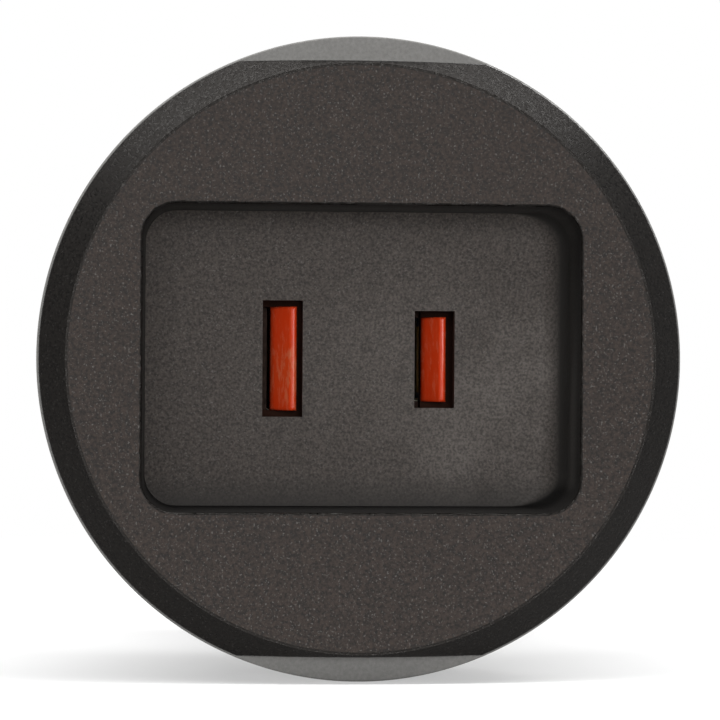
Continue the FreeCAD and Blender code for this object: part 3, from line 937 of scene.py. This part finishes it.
# Plug pins
# Two solid round pins for the wall socket, turned from brass bar and nickel-plated. Each is drawn into its
# cone seat by its root, which is riveted over the contact's tab inside.
pin_length = 19.0 * mm
pin_nose = 1.7 * mm
pin_tip = 1.3 * mm
rivet_head = 0.8 * mm
rivet_dome = [(0.0, 0.5 * mm), (0.1 * mm, 0.2 * mm), (0.35 * mm, 0.0)]
contact_sheet = 0.6 * mm
tab_front_y = plug_inner_y - contact_sheet
rivet_top_y = tab_front_y - rivet_head
nickel = drawn_metal("pin_nickel", dark=(0.46, 0.445, 0.42), pale=(0.52, 0.505, 0.48), roughness=0.26,
                     scale=5000, stretch=(0.02, 1, 0.02), bump=0.1)
for name, side in (("neutral_pin", -1), ("line_pin", 1)):
    profile = [(rivet_top_y + depth, pin_radius - inset) for depth, inset in rivet_dome]
    profile += [
        (tab_front_y, pin_radius),
        (tab_front_y, pin_root),
        (-pin_seat, pin_root),
        (0, pin_radius),
    ]
    profile += quarter(pin_length - pin_nose, pin_radius, pin_nose, pin_radius - pin_tip, steps=10)
    pin = turned(profile, side * pin_x, 0, sides=64)
    smooth(pin, 30)
    fitted(pin, name + "_turned", nickel, "adapter", name)


# Housing screws
# Two cross-head screws in the flange, one in line with each earth channel, that hold the rear housing to the
# cover's bosses. Zinc-plated steel, with pan heads pressed in a die.
head_radius = 2.2 * mm
head_height = 1.4 * mm
head_rim = 0.5 * mm
head_crown = 0.55 * head_radius
shank_radius = 1.25 * mm
shank_length = 9.5 * mm
tip_radius = 0.5 * mm
tip_length = 1.4 * mm
cross_reach = 1.25 * mm
cross_half = 0.27 * mm
cross_depth = 0.8 * mm
cross_taper = 0.7
for number, level in ((1, -1), (2, 1)):
    head_y = screw_seat_y + head_height
    profile = [
        (screw_seat_y - shank_length, tip_radius),
        (screw_seat_y - shank_length + tip_length, shank_radius),
        (screw_seat_y, shank_radius),
        (screw_seat_y, head_radius),
    ]
    profile += quarter(screw_seat_y + head_rim, head_radius, head_height - head_rim, head_crown, steps=8)
    screw = turned(profile, 0, level * boss_z, sides=48)
    for reach_x, reach_z in ((cross_reach, cross_half), (cross_half, cross_reach)):
        recess = moulded_block((-reach_x, head_y - cross_depth, level * boss_z - reach_z),
                               (reach_x, head_y + weld, level * boss_z + reach_z))
        edit(recess)
        select("VERT", lambda v: v.co.y < head_y - cross_depth / 2)
        bpy.ops.transform.resize(value=(cross_taper, 1, cross_taper),
                                 center_override=(0, head_y - cross_depth, level * boss_z))
        bpy.ops.object.mode_set(mode="OBJECT")
        shape(screw, recess, "DIFFERENCE")
    smooth(screw, 30)
    name = "housing_screw_%d" % number
    fitted(screw, name + "_pan_head", zinc, "adapter", name)


# Stage
# A plain white floor under the adapter, a wide soft box overhead, a strip light and a soft box in front,
# another soft box behind for the plug, and the camera a little to the left of the outlet's axis.
floor_z = cad_box[0].z
floor_radius = 0.5
shadow_near = 0.05
shadow_far = 0.14
fill_light = 0.25


def seen_rays(tree):
    """1 for rays that show the background straight, mirrored or through glass, and 0 for all others."""
    rays = tree.nodes.new("ShaderNodeLightPath")
    share = rays.outputs["Is Camera Ray"]
    for kind in ("Is Transmission Ray", "Is Glossy Ray"):
        either = tree.nodes.new("ShaderNodeMath")
        either.operation = "MAXIMUM"
        tree.links.new(share, either.inputs[0])
        tree.links.new(rays.outputs[kind], either.inputs[1])
        share = either.outputs[0]
    return share


bpy.ops.object.select_all(action="DESELECT")
bpy.ops.mesh.primitive_circle_add(vertices=96, radius=floor_radius, fill_type="NGON",
                                  location=(0, 0, floor_z))
floor = place_applied()
floor.name = "floor"
floor_white = bpy.data.materials.new("floor_white")
floor_white.use_nodes = True
tree = floor_white.node_tree
tree.nodes.remove(tree.nodes["Principled BSDF"])
output = tree.nodes["Material Output"]
paper = add_node(tree, "ShaderNodeBsdfDiffuse", Color=(0.88, 0.88, 0.88, 1))
glow = add_node(tree, "ShaderNodeEmission", Color=(1, 1, 1, 1))
tree.links.new(seen_rays(tree), glow.inputs["Strength"])
place = tree.nodes.new("ShaderNodeTexCoord")
away = tree.nodes.new("ShaderNodeVectorMath")
away.operation = "LENGTH"
tree.links.new(place.outputs["Object"], away.inputs[0])
fade = ranged(tree, away.outputs["Value"], shadow_near, shadow_far, 0.45, 1.0)
blend = tree.nodes.new("ShaderNodeMixShader")
tree.links.new(fade, blend.inputs["Fac"])
tree.links.new(paper.outputs["BSDF"], blend.inputs[1])
tree.links.new(glow.outputs["Emission"], blend.inputs[2])
tree.links.new(blend.outputs["Shader"], output.inputs["Surface"])
floor.data.materials.append(floor_white)

world = bpy.data.worlds.new("studio")
bpy.context.scene.world = world
world.use_nodes = True
tree = world.node_tree
background = tree.nodes["Background"]
background.inputs["Color"].default_value = (1, 1, 1, 1)
tree.links.new(ranged(tree, seen_rays(tree), 0, 1, fill_light, 1.0), background.inputs["Strength"])


def soft_box(name, place, target, width, height, watts):
    """A rectangular soft light at a place, turned to a target."""
    light = bpy.data.lights.new(name, "AREA")
    light.shape = "RECTANGLE"
    light.size = width
    light.size_y = height
    light.energy = watts
    lamp = bpy.data.objects.new(name, light)
    bpy.context.scene.collection.objects.link(lamp)
    lamp.location = place
    lamp.rotation_euler = (Vector(target) - Vector(place)).to_track_quat("-Z", "Y").to_euler()


face_middle = Vector((0, front_y, 0))
soft_box("overhead_soft_box", place=(-0.04, front_y - 0.16, 0.64), target=(-0.05, front_y, 0.0),
         width=1.40, height=0.12, watts=8.6)
soft_box("front_strip_light", place=(0.030, front_y - 0.60, 0.0), target=face_middle,
         width=0.075, height=0.26, watts=1.35)
soft_box("front_soft_box", place=(-0.09, front_y - 0.60, 0.04), target=face_middle,
         width=0.32, height=0.32, watts=1.0)
soft_box("rear_soft_box", place=(0.30, 0.55, 0.35), target=(0, 0, 0), width=0.40, height=0.40, watts=3.2)

camera_distance = 198 * mm
camera_left = math.radians(3.7)
camera_roll = math.radians(0.37)
frame_width = 57.45 * mm
sensor = 36.0
camera = bpy.data.cameras.new("photo_camera")
camera.sensor_width = sensor
camera.lens = sensor * camera_distance / frame_width
viewer = bpy.data.objects.new("photo_camera", camera)
bpy.context.scene.collection.objects.link(viewer)
toward = Vector((-math.sin(camera_left), -math.cos(camera_left), 0))
aim = face_middle + Vector((-0.22 * mm, 0, -0.08 * mm))
viewer.location = aim + toward * camera_distance
viewer.rotation_euler = ((-toward).to_track_quat("-Z", "Y").to_matrix()
                         @ Matrix.Rotation(camera_roll, 3, "Z")).to_euler()
camera.clip_start = 0.01
camera.clip_end = 10
bpy.context.scene.camera = viewer
bpy.context.scene.view_settings.view_transform = "Standard"
